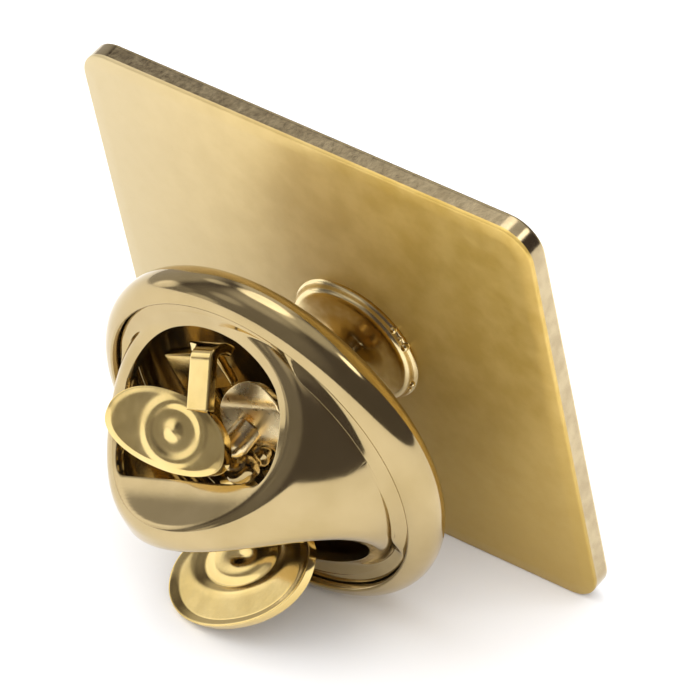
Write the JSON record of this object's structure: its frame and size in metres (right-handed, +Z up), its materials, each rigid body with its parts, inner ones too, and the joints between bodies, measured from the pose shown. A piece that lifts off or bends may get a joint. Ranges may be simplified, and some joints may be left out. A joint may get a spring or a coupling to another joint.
{
  "type": "lapel pin",
  "caption": "Square lapel pin with a bare face and a post, held by a butterfly clutch with squeeze wings; it leans on its bottom edge, rim and wing.",
  "frame": {"origin": "on the floor, under the middle of the object's box, as the pin rests", "axes": "+Z up, +X along the plate's bottom edge, -Y towards the side that the clutch is on"},
  "size_m": [0.0156, 0.0108, 0.0141],
  "materials": {
    "plate_brass": "satin",
    "clutch_brass": "polished",
    "wing_brass": "polished"
  },
  "bodies": {
    "pin": {"badge": "plate_brass"},
    "clutch": {"clutch_base": "clutch_brass", "clutch_cap": "clutch_brass"},
    "upper_lever": {"upper_wing": "wing_brass"},
    "lower_lever": {"lower_wing": "wing_brass"}
  },
  "joints": [
    {"name": "clutch_slide", "type": "slide", "parent": "pin", "child": "clutch", "axis": [0, -0.9613, -0.2756], "range_m": [-0.0013, 0.004]},
    {"name": "upper_wing_squeeze", "type": "hinge", "parent": "clutch", "child": "upper_lever", "pos_m": [0.00055, -0.00158, 0.00528], "axis": [0.9135, -0.1121, 0.391], "range_deg": [0, 7], "stiffness_Nm_per_rad": 0.1},
    {"name": "lower_wing_squeeze", "type": "hinge", "parent": "clutch", "child": "lower_lever", "pos_m": [0.00055, -0.00158, 0.00528], "axis": [-0.9135, 0.1121, -0.391], "range_deg": [0, 7], "stiffness_Nm_per_rad": 0.1}
  ]
}
